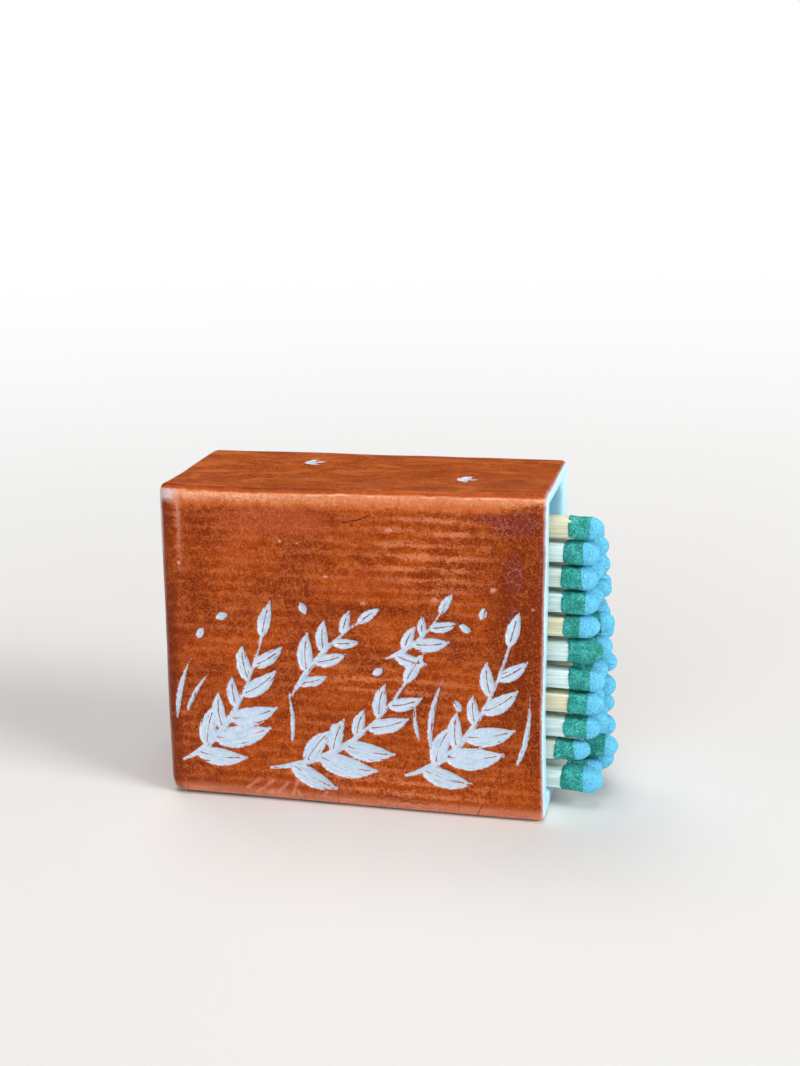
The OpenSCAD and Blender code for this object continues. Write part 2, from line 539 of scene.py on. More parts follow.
def slice_finely(box):
    """An even grid all over, finer on the front and where the roof is carved."""
    for axis in range(3):
        count = int((BODY_HIGH[axis] - BODY_LOW[axis]) / GRID)
        places = [BODY_LOW[axis] + (i + 0.5) * (BODY_HIGH[axis] - BODY_LOW[axis]) / count
                  for i in range(count)]
        cut_in_slices(box, axis, places)
    roof_cuts = roof_drawing()

    def carved_side(centre, normal):
        if normal.y < -0.9 and centre.y < BODY_LOW.y + WALL / 2:
            return True
        if normal.z > 0.9 and centre.z > BODY_HIGH.z - ROOF / 2:
            flat = np.array([[centre.x, centre.y]]) / MM
            return measure_cuts(flat, roof_cuts)[0][0] > -0.9
        return False

    select_faces(box, carved_side)
    bpy.ops.mesh.subdivide(number_cuts=FINE_CUTS)
    bpy.ops.object.mode_set(mode="OBJECT")


def patches(flat, places):
    """How strongly each point lies in the strongest of some soft-edged patches."""
    strength = np.zeros(len(flat))
    for x, z, reach_x, reach_z, full in places:
        here = full * np.exp(-(((flat[:, 0] - x) / reach_x) ** 2 + ((flat[:, 1] - z) / reach_z) ** 2))
        strength = np.maximum(strength, here)
    return strength


def distance_to_lines(flat, lines):
    """How far each point lies from the nearest of some straight marks, in millimetres."""
    nearest = np.full(len(flat), 9.0)
    for start, end in lines:
        start, run = np.array(start), np.array(end) - np.array(start)
        t = np.clip((flat - start) @ run / (run @ run), 0, 1)
        nearest = np.minimum(nearest, np.linalg.norm(flat - start - t[:, None] * run, axis=1))
    return nearest


def chart_surface(box, co, normals):
    """Stores, in millimetres, where the glaze's brush marks, wear and cuts lie on the unshaped box."""
    x, y, z = (co / MM).T
    low, high = BODY_LOW / MM, BODY_HIGH / MM
    facing_end, _, facing_up = normals.T
    from_face = np.minimum(y - low.y, high.y - y)
    flat_share = facing_up / (np.abs(facing_up) + np.abs(facing_end) + 0.01)
    set_attribute(box, "girth", z + from_face * flat_share)
    set_attribute(box, "on_roof", smooth_step(0.8, 0.95, facing_up))
    level = smooth_step(0.6, 0.8, np.abs(facing_up))
    set_attribute(box, "past_end_edge", (x - low.x) - from_face + 30 * level)
    set_attribute(box, "from_end", x - low.x)
    set_attribute(box, "from_front", y - low.y)
    set_attribute(box, "from_mouth", high.x - x)

    wrapped = np.where(y < 0, z + (y - low.y), 2 * high.z + (y - low.y) - z)
    on_end = (facing_end < -0.7) & (x < low.x + CLOSED_END / MM / 2)
    set_attribute(box, "across_brush", np.where(on_end, z, wrapped))
    set_attribute(box, "along_brush", np.where(on_end, low.x - (y - low.y), x))

    on_front = (normals[:, 1] < -0.5) & (co[:, 1] < BODY_LOW.y + WALL / 2)
    on_roof = (normals[:, 2] > 0.9) & (co[:, 2] > BODY_HIGH.z - ROOF / 2)
    face = np.stack([x, z], axis=1)
    roof = np.stack([x, y], axis=1)
    for name, places in (("purple", PURPLE_PATCHES), ("ribbed", RIBBED_PATCHES), ("pink", PINK_PATCHES),
                         ("deep", DEEP_PATCHES), ("pale_spot", PALE_SPOTS)):
        set_attribute(box, name, patches(face, places) * on_front)
    scratch = np.where(on_front, distance_to_lines(face, SCRATCHES), 9)
    set_attribute(box, "off_scratch", scratch)
    set_attribute(box, "off_scuff", np.where(on_front, distance_to_lines(face, SCUFFS), 9))

    nowhere = (np.full(len(x), -9.0), np.zeros(len(x)), np.ones(len(x)))
    drawn = measure_cuts(face, front_drawing())
    sprouts = measure_cuts(roof, roof_drawing())
    inside, along, side = (np.where(on_roof, s, np.where(on_front, f, n))
                           for s, f, n in zip(sprouts, drawn, nowhere))
    set_attribute(box, "inside_cut", inside)
    set_attribute(box, "along_cut", along)
    set_attribute(box, "side_of_cut", side)
    return inside, scratch


def shape_by_hand(box):
    """Leans, dents and carves the box as a hand-built one is."""
    co = points_of(box)
    normals = normals_of(box)
    inside, scratch = chart_surface(box, co, normals)
    x, y, z = (co / MM).T
    along = x / (BODY_HIGH.x / MM)
    up = z / (BODY_HIGH.z / MM)
    outer = np.maximum.reduce([
        smooth_step(BODY_HIGH.y - WALL * 0.6, BODY_HIGH.y - WALL * 0.3, np.abs(co[:, 1])),
        smooth_step(BODY_HIGH.z - ROOF * 0.6, BODY_HIGH.z - ROOF * 0.3, co[:, 2]),
        smooth_step(BODY_LOW.z + FLOOR * 0.6, BODY_LOW.z + FLOOR * 0.3, co[:, 2]),
        smooth_step(BODY_LOW.x + CLOSED_END * 0.6, BODY_LOW.x + CLOSED_END * 0.3, co[:, 0]),
    ])
    ripple = wavy(co, 12 * MM, 1) * 0.12 + wavy(co, 5 * MM, 2) * 0.035
    ribs = wavy(co * np.array([0.12, 1, 1]), 1.5 * MM, 4) * 0.012
    depth = CUT_DEPTH * smooth_step(-0.1, 0.16, inside) - CUT_BURR * np.exp(-((inside + 0.12) / 0.09) ** 2)
    depth += 0.06 * smooth_step(0.16, 0.04, scratch)
    push = (ripple + ribs) * outer * smooth_step(0, 0.08, up) - depth
    moved = co + normals * (push * MM)[:, None]
    leftness = np.clip((1 - along) / 2, 0, 1)
    rightness = np.clip((1 + along) / 2, 0, 1)
    shift_x = (TOP_LEFT_LEAN * (2 * up - 1) - LEFT_OUT) * leftness
    shift_x -= MOUTH_HOLLOW * np.exp(-((up - 0.36) / 0.25) ** 2) * rightness ** 3 * smooth_step(0, -6, y)
    drop = EDGE_DIP * np.exp(-((x + 8) / 9) ** 2) * smooth_step(0.75, 1, up) * smooth_step(2, -8, y)
    lift = HEEL_LIFT * smooth_step(5, -22, x) * smooth_step(0.25, 0, up)
    rise = ROOF_RISE * smooth_step(-4, 10, y) * smooth_step(0.8, 1, up) * (1 - 0.3 * rightness)
    forward = FOOT_FORWARD * smooth_step(-12, 22, x) * smooth_step(0.6, 0, up) * smooth_step(2, -8, y)
    moved[:, 0] += shift_x * MM
    moved[:, 1] -= forward * MM
    moved[:, 2] += (lift - drop + rise) * MM
    moved[:, 2] = np.maximum(moved[:, 2], BODY_LOW.z)
    set_points(box, moved)


def band(tree, value, low, high, soft):
    """One between low and high, falling off softly on both sides."""
    rise = ramp(tree, value, low - soft, low + soft)
    fall = ramp(tree, value, high - soft, high + soft, 1, 0)
    return maths(tree, "MULTIPLY", rise, fall)


def times(tree, *factors):
    product = factors[0]
    for factor in factors[1:]:
        product = maths(tree, "MULTIPLY", product, factor)
    return product


def jitter(tree, noise_value, reach):
    """Noise of 0 to 1 as a wobble of plus or minus about half the reach."""
    return maths(tree, "MULTIPLY", maths(tree, "SUBTRACT", noise_value, 0.5), reach)


def brushed(tree, along_scale, across_scale, seed, detail=3.0, rough=0.55, twist=0.0):
    """Noise stretched along the brush strokes."""
    joined = tree.nodes.new("ShaderNodeCombineXYZ")
    feed(joined.inputs[0], maths(tree, "MULTIPLY", attribute(tree, "along_brush"), along_scale))
    feed(joined.inputs[1], maths(tree, "MULTIPLY", attribute(tree, "across_brush"), across_scale))
    joined.inputs[2].default_value = seed
    return clouds(tree, joined.outputs[0], 1.0, detail, rough, twist)


def slip_colour(tree, here):
    """Rust-red slip: brush ribs, drifts of pink and purple, mottling and grain."""
    drift = clouds(tree, here, 0.13, 3, 0.55, 0.5)
    haze = clouds(tree, place(tree, shift=(40, 9, 3)), 0.22, 3, 0.6, 0.8)
    mottle = clouds(tree, place(tree, (0.8, 1, 1), (3, 20, 8)), 1.15, 4, 0.65, 0.6)
    grain = clouds(tree, here, 3.1, 4, 0.75)
    fine = clouds(tree, place(tree, shift=(7, 1, 2)), 6.0, 3, 0.7)
    wander = maths(tree, "MULTIPLY", brushed(tree, 0.04, 0.16, 3.0, 2, 0.5), 6.0)
    phase = maths(tree, "MULTIPLY_ADD", attribute(tree, "across_brush"), 2 * math.pi / RIB_PITCH, wander)
    wave = maths(tree, "MULTIPLY_ADD", maths(tree, "SINE", phase), 0.14, 0.5)
    ribs = maths(tree, "ADD", wave, jitter(tree, brushed(tree, 0.14, 1.3, 8.0, 4, 0.6), 0.85))
    rib_edge = maths(tree, "ADD", jitter(tree, grain, 0.85), jitter(tree, mottle, 0.6))
    ragged_ribs = maths(tree, "ADD", ribs, maths(tree, "ADD", rib_edge, jitter(tree, fine, 0.4)))
    lines = brushed(tree, 0.17, 1.7, 11.0, 4, 0.7)
    roof = attribute(tree, "on_roof")

    slip = mixed(tree, ramp(tree, drift, 0.4, 0.6), SLIP_DEEP, SLIP_MID)
    slip = mixed(tree, ramp(tree, mottle, 0.5, 0.68, 0, 0.42), slip, SLIP_PALE)
    slip = mixed(tree, ramp(tree, mottle, 0.5, 0.34, 0, 0.5), slip, SLIP_DARK)
    ribbed = maths(tree, "ADD", attribute(tree, "ribbed"), jitter(tree, haze, 0.9))
    rib_strength = ramp(tree, ribbed, 0.0, 0.7, 0.24, 0.9)
    slip = mixed(tree, times(tree, ramp(tree, ragged_ribs, 0.42, 0.76), rib_strength, 0.9), slip, SLIP_RIB)
    slip = mixed(tree, times(tree, ramp(tree, ragged_ribs, 0.42, 0.2), rib_strength, 0.45), slip, SLIP_DARK)
    line_strength = maths(tree, "MULTIPLY_ADD", roof, 0.04, 0.18)
    # Painted light: the top of the box is made lighter, as lit from above.
    slip = mixed(tree, times(tree, roof, 0.4), slip, SLIP_ROOF_PAINTED_LIGHT)
    scuffs = brushed(tree, 0.14, 0.36, 17.0, 5, 0.7, 0.8)
    slip = mixed(tree, times(tree, ramp(tree, scuffs, 0.48, 0.64), roof, 0.8), slip, SLIP_RIB_DULL)
    slip = mixed(tree, times(tree, ramp(tree, scuffs, 0.5, 0.34), roof, 0.6), slip, SLIP_PURPLE)
    slip = mixed(tree, times(tree, ramp(tree, lines, 0.52, 0.7), line_strength), slip, SLIP_PALE)
    slip = mixed(tree, times(tree, ramp(tree, lines, 0.48, 0.3), line_strength), slip, SLIP_DARK)
    pink = ramp(tree, maths(tree, "ADD", attribute(tree, "pink"), jitter(tree, haze, 1.4)), 0.1, 0.7, 0, 0.8)
    slip = mixed(tree, pink, slip, SLIP_PINK)
    deep = ramp(tree, maths(tree, "ADD", attribute(tree, "deep"), jitter(tree, haze, 0.8)), 0.1, 0.8, 0, 0.9)
    slip = mixed(tree, deep, slip, SLIP_DARK)
    purple_edge = maths(tree, "ADD", jitter(tree, haze, 0.6), jitter(tree, mottle, 0.7))
    purple = ramp(tree, maths(tree, "ADD", attribute(tree, "purple"), purple_edge), 0.2, 0.8, 0, 0.85)
    slip = mixed(tree, purple, slip, SLIP_PURPLE)

    speck = mixed(tree, ramp(tree, purple, 0.1, 0.6), SLIP_GRAIN, SLIP_LILAC)
    strength = ramp(tree, pink, 0, 0.8, 0.5, 0.62)
    slip = mixed(tree, times(tree, ramp(tree, grain, 0.52, 0.68), strength), slip, speck)
    slip = mixed(tree, times(tree, ramp(tree, grain, 0.48, 0.32), 0.55), slip, SLIP_DARK)
    slip = mixed(tree, ramp(tree, fine, 0.54, 0.68, 0, 0.6), slip, speck)
    slip = mixed(tree, ramp(tree, fine, 0.46, 0.32, 0, 0.5), slip, SLIP_DARK)
    threads = cracks(tree, bent_place(tree, here, 1.3, 0.9), 0.7, 2.0)
    slip = mixed(tree, times(tree, ramp(tree, threads, 0.07, 0.02), ramp(tree, haze, 0.42, 0.62, 0.05, 0.28)), slip, speck)
    spot = ramp(tree, maths(tree, "ADD", attribute(tree, "pale_spot"), jitter(tree, grain, 0.9)), 0.35, 0.85, 0, 0.85)
    slip = mixed(tree, spot, slip, SLIP_THIN_AND_GLINT)
    scuff = maths(tree, "ADD", attribute(tree, "off_scuff"), maths(tree, "ADD", jitter(tree, grain, 0.6), jitter(tree, mottle, 0.5)))
    slip = mixed(tree, ramp(tree, scuff, 0.3, 0.0, 0, 0.6), slip, SLIP_THIN_AND_GLINT)
    return slip, ribs, grain, fine, haze, mottle, purple


def bent_place(tree, here, scale, reach):
    """The place, pushed about by noise, so that lines drawn from it wander."""
    bent = tree.nodes.new("ShaderNodeVectorMath")
    feed(bent.inputs[0], here)
    push = tree.nodes.new("ShaderNodeTexNoise")
    feed(push.inputs["Vector"], here)
    feed(push.inputs["Scale"], scale)
    scaled = tree.nodes.new("ShaderNodeVectorMath")
    scaled.operation = "SCALE"
    feed(scaled.inputs[0], push.outputs["Color"])
    feed(scaled.inputs["Scale"], reach)
    feed(bent.inputs[1], scaled.outputs[0])
    return bent.outputs[0]


def wear_colour(tree, slip, grain, fine, haze, mottle):
    """The slip where it thins over the edges and the bare corner, with painted highlights along the top-front edge, the
    left end and the bottom edge, and a painted shade line on the top behind the front edge.
    """
    ragged = maths(tree, "ADD", jitter(tree, grain, 0.9), jitter(tree, mottle, 1.3))
    girth = maths(tree, "ADD", attribute(tree, "girth"), jitter(tree, haze, 0.6))
    rough_girth = maths(tree, "ADD", girth, ragged)
    top = BODY_HIGH.z / MM
    from_mouth = attribute(tree, "from_mouth")
    from_end = attribute(tree, "from_end")
    # A pale band under the top-front edge: thinner slip there, with painted sheen over it.
    rising = ramp(tree, from_mouth, 8.0, 1.0, 0, 1.1)
    low_edge = maths(tree, "ADD", maths(tree, "ADD", top - 2.3, rising), jitter(tree, haze, 2.2))
    low_part = ramp(tree, maths(tree, "SUBTRACT", rough_girth, low_edge), -0.5, 0.7)
    worn_and_sheen = times(tree, low_part, ramp(tree, rough_girth, top + 0.1, top - 0.3), 0.62)
    slip = mixed(tree, worn_and_sheen, slip, SLIP_WORN_AND_SHEEN)
    # Painted highlight: a speckled glint band along the rounded top-front edge, strongest near the left end and rising
    # again near the mouth.
    glint_low = maths(tree, "ADD", maths(tree, "MULTIPLY_ADD", rising, 0.5, top - 1.4), jitter(tree, haze, 1.4))
    glint = times(
        tree, ramp(tree, maths(tree, "SUBTRACT", rough_girth, glint_low), -0.55, 0.5),
        ramp(tree, rough_girth, top - 0.1, top - 0.6),
        ramp(tree, maths(tree, "ADD", fine, jitter(tree, grain, 0.8)), 0.34, 0.66, 0.4, 1),
        ramp(tree, haze, 0.3, 0.6, 0.45, 0.9), maths(tree, "MAXIMUM", ramp(tree, from_end, 9.0, 19.0, 1, 0.5), ramp(tree, from_mouth, 12.0, 4.0, 0, 0.75)))
    slip = mixed(tree, glint, slip, SLIP_PAINTED_HIGHLIGHT)
    wobble = maths(tree, "ADD", jitter(tree, haze, 0.7), jitter(tree, mottle, 0.5))
    line = maths(tree, "ADD", attribute(tree, "girth"), wobble)
    slip = mixed(tree, times(tree, band(tree, line, top - 0.15, top + 0.3, 0.25), 0.6), slip, SLIP_ORANGE)
    # A thin painted highlight line just under the top edge, away from the left end.
    glint_line = times(tree, band(tree, line, top - 0.5, top - 0.2, 0.14), ramp(tree, from_end, 10.0, 20.0),
                       ramp(tree, mottle, 0.42, 0.58, 0.15, 0.85))
    slip = mixed(tree, glint_line, slip, SLIP_PAINTED_HIGHLIGHT)
    # Painted shade: a dark line on the top just behind the rounded front edge, fading towards the mouth.
    shade = times(tree, band(tree, line, top + 0.4, top + 0.95, 0.3), ramp(tree, haze, 0.35, 0.6, 0.5, 1),
                  ramp(tree, from_end, 12.0, 34.0, 0.85, 0.2))
    slip = mixed(tree, shade, slip, SLIP_PAINTED_SHADE)
    # A pale band along the bottom edge where the slip wears thin, with painted sheen, and a thin painted highlight line
    # at the lowest rounding.
    foot = times(tree, band(tree, rough_girth, 0.0, 1.3, 0.7), ramp(tree, haze, 0.3, 0.6, 0.55, 0.95),
                 ramp(tree, grain, 0.3, 0.6, 0.65, 1))
    slip = mixed(tree, foot, slip, SLIP_FOOT_WEAR_AND_SHEEN)
    foot_line = times(tree, band(tree, girth, -0.5, 0.4, 0.25), ramp(tree, grain, 0.35, 0.6, 0.3, 0.8))
    slip = mixed(tree, foot_line, slip, SLIP_THIN_AND_GLINT)

    turn = maths(tree, "ADD", attribute(tree, "past_end_edge"), jitter(tree, haze, 0.5))
    rough_turn = maths(tree, "ADD", turn, maths(tree, "MULTIPLY", ragged, 0.6))
    high_up = ramp(tree, maths(tree, "ADD", attribute(tree, "girth"), jitter(tree, haze, 8)), 25, 36)
    in_front = ramp(tree, attribute(tree, "from_front"), 3.2, 2.4)
    core = times(tree, band(tree, rough_turn, 0.2, 2.0, 0.4), ramp(tree, mottle, 0.35, 0.65, 0.8, 0.4),
                 maths(tree, "MULTIPLY_ADD", in_front, 0.6, 0.4))
    slip = mixed(tree, core, slip, SLIP_CORE)
    # Painted highlight: a pale glint line on the front just inside the rounded left end edge, high up.
    ridge_glint = times(tree, band(tree, rough_turn, 2.35, 2.8, 0.3), high_up, in_front, ramp(tree, fine, 0.35, 0.6, 0.25, 0.8))
    slip = mixed(tree, ridge_glint, slip, SLIP_THIN_AND_GLINT)
    brow = times(tree, band(tree, rough_turn, -1.5, 0.15, 0.35), ramp(tree, high_up, 0, 1, 0.12, 0.85), in_front)
    slip = mixed(tree, brow, slip, BARE_CLAY)
    bare = times(tree, band(tree, rough_turn, -2.2, 2.1, 0.6), band(tree, rough_girth, top - 1.8, top - 0.3, 0.5), in_front)
    slip = mixed(tree, bare, slip, BARE_CLAY)
    roof_edge = times(tree, band(tree, from_end, 0.05, 0.5, 0.15), attribute(tree, "on_roof"), ramp(tree, grain, 0.3, 0.55))
    return mixed(tree, times(tree, roof_edge, 0.6), slip, SLIP_WORN_AND_SHEEN)


def crackle(tree, here, haze):
    """Hairlines in the glaze, mostly low down."""
    parts = tree.nodes.new("ShaderNodeSeparateXYZ")
    feed(parts.inputs[0], here)
    low_down = ramp(tree, maths(tree, "ADD", parts.outputs[2], jitter(tree, haze, 12)), 19, 8)
    unrolled = tree.nodes.new("ShaderNodeCombineXYZ")
    feed(unrolled.inputs[0], maths(tree, "MULTIPLY", attribute(tree, "along_brush"), 0.3))
    feed(unrolled.inputs[1], maths(tree, "MULTIPLY", attribute(tree, "across_brush"), 0.13))
    net = cracks(tree, bent_place(tree, unrolled.outputs[0], 2.2, 0.22), 1.0, 4.0, flat=True)
    return times(tree, ramp(tree, net, 0.02, 0.006), low_down, ramp(tree, haze, 0.42, 0.56, 0.15, 1))


def glazed_clay_material():
    """White clay under clear glaze, its outside brushed with slip that the drawing is cut through."""
    material, tree, shader = new_material(
        "slip_carved_glazed_clay", Roughness=0.34, Coat_Weight=0.13, Coat_Roughness=0.07, Coat_IOR=1.33,
        IOR=1.4, Specular_IOR_Level=0.1)
    here = place(tree)
    slip, ribs, grain, fine, haze, mottle, purple = slip_colour(tree, here)
    slip = wear_colour(tree, slip, grain, fine, haze, mottle)
    hairlines = crackle(tree, here, haze)
    slip = mixed(tree, times(tree, hairlines, 0.7), slip, SLIP_DARK)
    slip = mixed(tree, ramp(tree, attribute(tree, "off_scratch"), 0.17, 0.06, 0, 0.9), slip, SLIP_SCRATCH)

    # The cuts: ragged at their edges, with slip left in lengthwise lines
    ragged = clouds(tree, here, 2.6, 3, 0.6)
    tool_path = tree.nodes.new("ShaderNodeCombineXYZ")
    feed(tool_path.inputs[0], maths(tree, "MULTIPLY", attribute(tree, "along_cut"), 0.55))
    feed(tool_path.inputs[1], maths(tree, "MULTIPLY", attribute(tree, "side_of_cut"), 4.2))
    chatter = clouds(tree, tool_path.outputs[0], 1.0, 2, 0.55)
    depth = maths(tree, "ADD", attribute(tree, "inside_cut"), jitter(tree, ragged, 0.3))
    depth = maths(tree, "SUBTRACT", depth, ramp(tree, chatter, 0.6, 0.72, 0, 0.5))
    off_middle = maths(tree, "ADD", maths(tree, "ABSOLUTE", attribute(tree, "side_of_cut")), jitter(tree, ragged, 0.12))
    vein = times(tree, ramp(tree, off_middle, 0.1, 0.03), ramp(tree, attribute(tree, "inside_cut"), 0.36, 0.5))
    depth = maths(tree, "SUBTRACT", depth, maths(tree, "MULTIPLY", vein, 0.9))
    cleared = ramp(tree, depth, 0.0, 0.07)
    white = mixed(tree, ramp(tree, ragged, 0.35, 0.65), CUT_WHITE, CUT_WHITE_WARM)
    white = mixed(tree, ramp(tree, chatter, 0.5, 0.34, 0, 0.5), white, CUT_SHADE)
    white = mixed(tree, ramp(tree, depth, 0.2, 0.03, 0, 0.7), white, CUT_LILAC)

    # White glaze inside and on the rim; inside it is painted darker, as shade in the hollow.
    parts = tree.nodes.new("ShaderNodeSeparateXYZ")
    feed(parts.inputs[0], here)
    x, y, z = parts.outputs
    wobble = maths(tree, "ADD", jitter(tree, haze, 0.16), jitter(tree, ragged, 0.16))
    rust_edge = maths(tree, "ADD", attribute(tree, "from_mouth"), wobble)
    rim = ramp(tree, rust_edge, 0.13, 0.05)
    half_wall = (BODY_HIGH.y - WALL / 2) / MM
    half_roof = (BODY_HIGH.z - ROOF / 2) / MM
    cavity = times(
        tree,
        ramp(tree, maths(tree, "ABSOLUTE", y), half_wall, half_wall - 0.2),
        ramp(tree, z, FLOOR / MM / 2, FLOOR / MM / 2 + 0.2),
        ramp(tree, z, half_roof, half_roof - 0.2),
        ramp(tree, x, (BODY_LOW.x + CLOSED_END / 2) / MM, (BODY_LOW.x + CLOSED_END / 2) / MM + 0.2),
    )
    glazed = mixed(tree, ramp(tree, attribute(tree, "from_mouth"), 0.3, 1.2), RIM_WHITE, CAVITY_WHITE_PAINTED_SHADE)
    glazed = mixed(tree, ramp(tree, ragged, 0.3, 0.7, 0, 0.12), glazed, CUT_WHITE_WARM)

    slip = mixed(tree, ramp(tree, rust_edge, 0.4, 0.1, 0, 0.6), slip, CUT_LILAC)
    colour = mixed(tree, cleared, slip, white)
    colour = mixed(tree, maths(tree, "MAXIMUM", rim, cavity), colour, glazed)
    feed(shader.inputs["Base Color"], colour)
    top = BODY_HIGH.z / MM
    dull_line = times(tree, band(tree, attribute(tree, "girth"), top + 0.4, top + 1.5, 0.2),
                      ramp(tree, attribute(tree, "from_front"), 9, 6), 0.5)
    feed(shader.inputs["Roughness"], maths(tree, "ADD", ramp(tree, purple, 0.1, 0.7, 0.32, 0.5), dull_line))
    height = maths(tree, "ADD", maths(tree, "MULTIPLY", ribs, 0.5), maths(tree, "MULTIPLY", grain, 0.3))
    height = maths(tree, "ADD", height, maths(tree, "MULTIPLY", chatter, maths(tree, "MULTIPLY", cleared, 0.5)))
    bump(tree, shader, height, 0.4, 0.1 * MM)
    return material


def make_holder():
    box = block_out_holder()
    slice_finely(box)
    shape_by_hand(box)
    make_active(box)
    bpy.ops.object.shade_smooth()
    box.data.materials.clear()
    box.data.materials.append(glazed_clay_material())
    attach(box, "holder")
    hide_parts("holder")
    return box


# The matches

def wood_material():
    """Pale split wood with grain along the splint, from bluish white to cream from stick to stick."""
    material, tree, shader = new_material("pale_match_wood", Roughness=0.6, Specular_IOR_Level=0.3)
    streaks = clouds(tree, place(tree, (0.12, 4.0, 4.0)), 1.0, 4, 0.6)
    broad = clouds(tree, place(tree, (0.05, 1.1, 1.1), (3, 5, 2)), 1.0, 2, 0.5)
    cream = maths(tree, "ADD", attribute(tree, "cream"), jitter(tree, broad, 0.9))
    light = mixed(tree, ramp(tree, cream, 0.1, 0.9), plain(228, 244, 242), plain(238, 232, 202))
    dark = mixed(tree, ramp(tree, cream, 0.1, 0.9), plain(198, 220, 214), plain(214, 204, 168))
    wood = mixed(tree, ramp(tree, streaks, 0.36, 0.62), dark, light)
    feed(shader.inputs["Base Color"], wood)
    bump(tree, shader, streaks, 0.6, 0.07 * MM)
    return material


def head_material():
    """A granular green first dip and a smoother pale blue second dip at the tip."""
    material, tree, shader = new_material("two_dip_match_head", Roughness=0.72, Specular_IOR_Level=0.22)
    here = place(tree)
    grains = clouds(tree, here, 4.6, 3, 0.75)
    pits = clouds(tree, place(tree, shift=(5, 2, 9)), 8.0, 2, 0.6)
    soft = clouds(tree, here, 0.9, 3, 0.65)
    creases = cracks(tree, bent_place(tree, here, 2.0, 0.5), 2.6, 1.0)
    green = mixed(tree, ramp(tree, soft, 0.4, 0.6), HEAD_GREEN_MID, HEAD_GREEN_LIGHT)
    green = mixed(tree, ramp(tree, grains, 0.52, 0.36, 0, 0.45), green, HEAD_GREEN_DARK)
    green = mixed(tree, ramp(tree, creases, 0.11, 0.02, 0, 0.55), green, HEAD_GREEN_DARK)
    green = mixed(tree, ramp(tree, pits, 0.56, 0.72, 0, 0.5), green, HEAD_GREEN_SPECK)
    blue = mixed(tree, ramp(tree, grains, 0.34, 0.56), HEAD_BLUE_DARK, HEAD_BLUE_LIGHT)
    blue = mixed(tree, ramp(tree, creases, 0.06, 0.01, 0, 0.35), blue, HEAD_BLUE_SPECK)
    blue = mixed(tree, ramp(tree, pits, 0.4, 0.28, 0, 0.6), blue, HEAD_BLUE_SPECK)
    edge = maths(tree, "ADD", attribute(tree, "into_second_dip"), jitter(tree, grains, 0.16))
    second = ramp(tree, edge, -0.04, 0.04)
    colour = mixed(tree, second, green, blue)
    on_wood = ramp(tree, maths(tree, "ADD", attribute(tree, "from_start"), jitter(tree, soft, 0.5)), 0.12, -0.02)
    feed(shader.inputs["Base Color"], mixed(tree, times(tree, on_wood, 0.5), colour, HEAD_GREEN_LIGHT))
    height = maths(tree, "ADD", maths(tree, "MULTIPLY_ADD", pits, 0.4, grains), ramp(tree, creases, 0.0, 0.12, 0, 0.6))
    height = maths(tree, "MULTIPLY", height, maths(tree, "MULTIPLY_ADD", second, -0.4, 1.0))
    bump(tree, shader, height, 0.9, 0.17 * MM)
    return material


def model_splint(length):
    """A square splint from 0 along X, its edges a little broken, cut into short lengths."""
    half = SPLINT_W / 2
    splint = add_block("splint_pattern", (0, -half, -half), (length, half, half))
    apply_modifier(splint, "BEVEL", width=0.12 * MM, segments=2, limit_method="ANGLE")
    cut_in_slices(splint, 0, np.append(np.arange(1.5, 40, 1.5), np.arange(40.5, length / MM, 0.6)) * MM)
    return splint


def model_head():
    """A dipped head with its tip at 0, bulging towards the tip, from a ring of faces drawn along X."""
    deselect_all()
    bpy.ops.mesh.primitive_circle_add(vertices=40, radius=1, fill_type="NGON",
                                      rotation=(0, math.radians(90), 0))
    head = bpy.context.object
    head.name = "head_pattern"
    bpy.ops.object.transform_apply(location=True, rotation=True, scale=True)
    dome = HEAD_W * 0.6
    stations = [(-HEAD_LEN, 0.80), (-HEAD_LEN + 0.06 * MM, 0.90), (-HEAD_LEN + 0.25 * MM, 0.97)]
    stations += [(-HEAD_LEN + 0.25 * MM + i * 0.21 * MM, 0.975 + 0.025 * math.sin(i / 11 * math.pi / 2))
                 for i in range(1, 12)]
    for i in range(1, 10):
        angle = i / 9.6 * math.pi / 2
        stations.append((-dome + dome * math.sin(angle), math.cos(angle)))
    make_active(head)
    bpy.ops.object.mode_set(mode="EDIT")
    bpy.ops.mesh.select_all(action="SELECT")
    start_x, start_r = stations[0]
    bpy.ops.transform.resize(value=(1, start_r * HEAD_W / 2, start_r * HEAD_W / 2))
    bpy.ops.transform.translate(value=(start_x, 0, 0))
    for (x0, r0), (x1, r1) in zip(stations, stations[1:]):
        bpy.ops.mesh.extrude_region_move(TRANSFORM_OT_translate={"value": (x1 - x0, 0, 0)})
        bpy.ops.transform.resize(value=(1, r1 / r0, r1 / r0))
    bpy.ops.mesh.poke()
    bpy.ops.mesh.select_all(action="SELECT")
    bpy.ops.mesh.normals_make_consistent(inside=False)
    bpy.ops.object.mode_set(mode="OBJECT")
    co = points_of(head)
    round_off = 1 + 0.085 * np.cos(4 * np.arctan2(co[:, 2], co[:, 1]) + math.pi)
    blend = smooth_step(0, -dome, co[:, 0])
    co[:, 1:] *= (1 + (round_off - 1) * blend)[:, None]
    set_points(head, co)
    return head


def droop(co, node):
    """Lets a loose match hang a little where it stands out of the mouth."""
    out = np.clip((co[:, 0] - BODY_HIGH.x) / (6 * MM), 0, 2)
    co[:, 2] -= DROOP.get(node, 0) * MM * out ** 1.3


